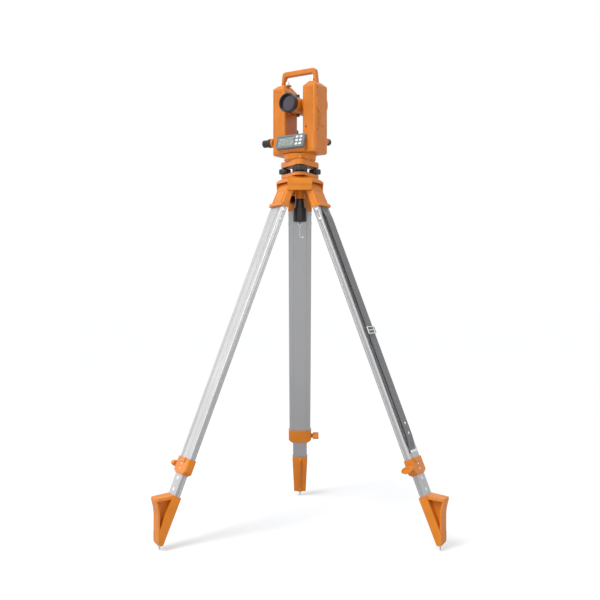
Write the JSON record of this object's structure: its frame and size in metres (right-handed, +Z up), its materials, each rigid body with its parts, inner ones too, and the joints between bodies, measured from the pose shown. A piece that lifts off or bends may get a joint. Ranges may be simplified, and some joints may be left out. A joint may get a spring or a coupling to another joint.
{
  "type": "theodolite",
  "caption": "Electronic theodolite with a display panel and carrying handle, on a levelling base and an extending tripod with a hook under its centre screw.",
  "frame": {"origin": "station point on the ground, straight under the instrument's vertical axis, level with the three foot points", "axes": "+Z up; -Y towards the front of the tripod, between its two front legs; +X to the right seen from the front"},
  "size_m": [0.8762, 0.7594, 1.469],
  "materials": {
    "orange_casting": "satin",
    "leg_aluminium": "satin",
    "inner_aluminium": "satin",
    "black_plastic": "satin",
    "black_rubber": "matte",
    "steel": "satin",
    "dark_steel": "satin",
    "webbing": "matte",
    "console_grey": "satin",
    "button_white": "satin",
    "display_glass": "gloss",
    "lens_glass": "gloss"
  },
  "bodies": {
    "head": {"tripod_head": "orange_casting", "hinge_pins": "steel"},
    "leg_rear": {"bracket_rear": "orange_casting", "upper_leg_rear": "leg_aluminium", "collar_rear": "orange_casting"},
    "clamp_rear": {"wing_screw_rear": "black_plastic"},
    "foot_rear": {"inner_leg_rear": "inner_aluminium", "shoe_rear": "orange_casting", "foot_point_rear": "steel"},
    "leg_left": {"bracket_left": "orange_casting", "upper_leg_left": "leg_aluminium", "collar_left": "orange_casting"},
    "clamp_left": {"wing_screw_left": "black_plastic"},
    "foot_left": {"inner_leg_left": "inner_aluminium", "shoe_left": "orange_casting", "foot_point_left": "steel"},
    "leg_right": {"bracket_right": "orange_casting", "upper_leg_right": "leg_aluminium", "collar_right": "orange_casting", "strap": "webbing", "strap_fittings": "steel"},
    "clamp_right": {"wing_screw_right": "black_plastic"},
    "foot_right": {"inner_leg_right": "inner_aluminium", "shoe_right": "orange_casting", "foot_point_right": "steel"},
    "arm": {"screw_arm": "steel"},
    "base": {"base_plate": "orange_casting"},
    "fixing_screw": {"centre_screw": "black_plastic"},
    "hook": {"plumb_hook": "steel"},
    "footscrew_front": {"footscrew_front": "black_plastic"},
    "footscrew_right": {"footscrew_right": "black_plastic"},
    "footscrew_left": {"footscrew_left": "black_plastic"},
    "spring": {"spring_plate": "dark_steel"},
    "tribrach": {"trivet": "orange_casting", "circle_housing": "orange_casting"},
    "lock": {"lock_knob": "orange_casting"},
    "alidade": {"alidade_base": "orange_casting", "standard_left": "orange_casting", "standard_right": "orange_casting", "console": "console_grey", "display_window": "display_glass", "handle": "orange_casting", "handle_screws": "steel"},
    "button_11": {"button_11": "button_white"},
    "button_12": {"button_12": "button_white"},
    "button_13": {"button_13": "button_white"},
    "button_21": {"button_21": "button_white"},
    "button_22": {"button_22": "button_white"},
    "button_23": {"button_23": "button_white"},
    "h_clamp": {"h_clamp": "black_plastic"},
    "h_tangent": {"h_tangent": "black_plastic"},
    "v_clamp": {"v_clamp": "black_plastic"},
    "v_tangent": {"v_tangent": "black_plastic"},
    "plummet_eyepiece": {"plummet_eyepiece": "black_plastic"},
    "telescope": {"telescope_tube": "orange_casting", "sights": "black_plastic", "objective_hood": "black_plastic", "objective_lens": "lens_glass"},
    "focus_ring": {"focus_ring": "black_plastic"},
    "eyepiece": {"eyepiece": "black_rubber"}
  },
  "joints": [
    {"name": "leg_rear_hinge", "type": "hinge", "parent": "head", "child": "leg_rear", "pos_m": [0, 0.0479, 1.095], "axis": [-1, 0, 0], "range_deg": [-8, 22.13]},
    {"name": "clamp_rear_turn", "type": "hinge", "parent": "leg_rear", "child": "clamp_rear", "pos_m": [0, 0.39673, 0.23722], "axis": [1, 0, 0], "range_deg": [0, 360]},
    {"name": "foot_rear_slide", "type": "slide", "parent": "leg_rear", "child": "foot_rear", "axis": [0, 0.3767, -0.9263], "range_m": [-0.008, 0.48]},
    {"name": "leg_left_hinge", "type": "hinge", "parent": "head", "child": "leg_left", "pos_m": [-0.04148, -0.02395, 1.095], "axis": [0.5, -0.866, 0], "range_deg": [-8, 22.13]},
    {"name": "clamp_left_turn", "type": "hinge", "parent": "leg_left", "child": "clamp_left", "pos_m": [-0.34358, -0.19837, 0.23722], "axis": [-0.5, 0.866, 0], "range_deg": [0, 360]},
    {"name": "foot_left_slide", "type": "slide", "parent": "leg_left", "child": "foot_left", "axis": [-0.3262, -0.1884, -0.9263], "range_m": [-0.008, 0.48]},
    {"name": "leg_right_hinge", "type": "hinge", "parent": "head", "child": "leg_right", "pos_m": [0.04148, -0.02395, 1.095], "axis": [0.5, 0.866, 0], "range_deg": [-8, 22.13]},
    {"name": "clamp_right_turn", "type": "hinge", "parent": "leg_right", "child": "clamp_right", "pos_m": [0.34358, -0.19837, 0.23722], "axis": [-0.5, -0.866, 0], "range_deg": [0, 360]},
    {"name": "foot_right_slide", "type": "slide", "parent": "leg_right", "child": "foot_right", "axis": [0.3262, -0.1884, -0.9263], "range_m": [-0.008, 0.48]},
    {"name": "arm_swing", "type": "hinge", "parent": "head", "child": "arm", "pos_m": [0, -0.033, 1.102], "axis": [0, 0, 1], "range_deg": [-9, 9]},
    {"name": "base_shift", "type": "slide", "parent": "arm", "child": "base", "axis": [0, 1, 0], "range_m": [-0.009, 0.009]},
    {"name": "fixing_screw_turn", "type": "hinge", "parent": "base", "child": "fixing_screw", "pos_m": [0, 0, 1.05], "axis": [0, 0, 1], "continuous": true},
    {"name": "hook_swing", "type": "hinge", "parent": "fixing_screw", "child": "hook", "pos_m": [0, 0, 0.977], "axis": [0, 1, 0], "range_deg": [-30, 30]},
    {"name": "footscrew_front_turn", "type": "hinge", "parent": "base", "child": "footscrew_front", "pos_m": [0, -0.056, 1.1465], "axis": [0, 0, 1], "range_deg": [-720, 720]},
    {"name": "footscrew_right_turn", "type": "hinge", "parent": "base", "child": "footscrew_right", "pos_m": [0.0485, 0.028, 1.1465], "axis": [0, 0, 1], "range_deg": [-720, 720]},
    {"name": "footscrew_left_turn", "type": "hinge", "parent": "base", "child": "footscrew_left", "pos_m": [-0.0485, 0.028, 1.1465], "axis": [0, 0, 1], "range_deg": [-720, 720]},
    {"name": "level_front", "type": "hinge", "parent": "base", "child": "spring", "pos_m": [0, 0, 1.16775], "axis": [1, 0, 0], "range_deg": [-1.5, 1.5]},
    {"name": "level_side", "type": "hinge", "parent": "spring", "child": "tribrach", "pos_m": [0, 0, 1.16775], "axis": [0, 1, 0], "range_deg": [-1.5, 1.5]},
    {"name": "lock_turn", "type": "hinge", "parent": "tribrach", "child": "lock", "pos_m": [0, -0.05, 1.1838], "axis": [0, -1, 0], "range_deg": [0, 180]},
    {"name": "alidade_turn", "type": "hinge", "parent": "tribrach", "child": "alidade", "pos_m": [0, 0, 1.2265], "axis": [0, 0, 1], "continuous": true},
    {"name": "button_11_press", "type": "slide", "parent": "alidade", "child": "button_11", "axis": [0.5208, 0.802, -0.2924], "range_m": [0, 0.001], "stiffness_N_per_m": 400, "springref_m": -0.002},
    {"name": "button_12_press", "type": "slide", "parent": "alidade", "child": "button_12", "axis": [0.5208, 0.802, -0.2924], "range_m": [0, 0.001], "stiffness_N_per_m": 400, "springref_m": -0.002},
    {"name": "button_13_press", "type": "slide", "parent": "alidade", "child": "button_13", "axis": [0.5208, 0.802, -0.2924], "range_m": [0, 0.001], "stiffness_N_per_m": 400, "springref_m": -0.002},
    {"name": "button_21_press", "type": "slide", "parent": "alidade", "child": "button_21", "axis": [0.5208, 0.802, -0.2924], "range_m": [0, 0.001], "stiffness_N_per_m": 400, "springref_m": -0.002},
    {"name": "button_22_press", "type": "slide", "parent": "alidade", "child": "button_22", "axis": [0.5208, 0.802, -0.2924], "range_m": [0, 0.001], "stiffness_N_per_m": 400, "springref_m": -0.002},
    {"name": "button_23_press", "type": "slide", "parent": "alidade", "child": "button_23", "axis": [0.5208, 0.802, -0.2924], "range_m": [0, 0.001], "stiffness_N_per_m": 400, "springref_m": -0.002},
    {"name": "h_clamp_turn", "type": "hinge", "parent": "alidade", "child": "h_clamp", "pos_m": [-0.08763, 0.02113, 1.2395], "axis": [-0.8387, 0.5446, 0], "range_deg": [0, 60]},
    {"name": "h_tangent_turn", "type": "hinge", "parent": "alidade", "child": "h_tangent", "pos_m": [-0.08763, 0.02113, 1.2395], "axis": [-0.8387, 0.5446, 0], "continuous": true},
    {"name": "v_clamp_turn", "type": "hinge", "parent": "alidade", "child": "v_clamp", "pos_m": [-0.02753, 0.06319, 1.2865], "axis": [0.5446, 0.8387, 0], "range_deg": [0, 60]},
    {"name": "v_tangent_turn", "type": "hinge", "parent": "alidade", "child": "v_tangent", "pos_m": [-0.02753, 0.06319, 1.2865], "axis": [0.5446, 0.8387, 0], "continuous": true},
    {"name": "plummet_eyepiece_turn", "type": "hinge", "parent": "alidade", "child": "plummet_eyepiece", "pos_m": [0.08685, 0.01991, 1.2435], "axis": [0.5446, 0.8387, 0], "range_deg": [-180, 180]},
    {"name": "telescope_transit", "type": "hinge", "parent": "alidade", "child": "telescope", "pos_m": [0, 0, 1.3525], "axis": [0.8387, -0.5446, 0], "continuous": true},
    {"name": "focus_ring_turn", "type": "hinge", "parent": "telescope", "child": "focus_ring", "pos_m": [0.02723, 0.04193, 1.3525], "axis": [0.5446, 0.8387, 0], "range_deg": [-150, 150]},
    {"name": "eyepiece_turn", "type": "hinge", "parent": "telescope", "child": "eyepiece", "pos_m": [0.03812, 0.05871, 1.3525], "axis": [0.5446, 0.8387, 0], "range_deg": [-150, 150]}
  ],
  "couplings": [
    {"joint": "footscrew_front_turn", "follows": "level_front", "ratio": 439.8},
    {"joint": "footscrew_right_turn", "follows": "level_side", "ratio": 380.9},
    {"joint": "footscrew_left_turn", "follows": "level_side", "ratio": -380.9}
  ]
}
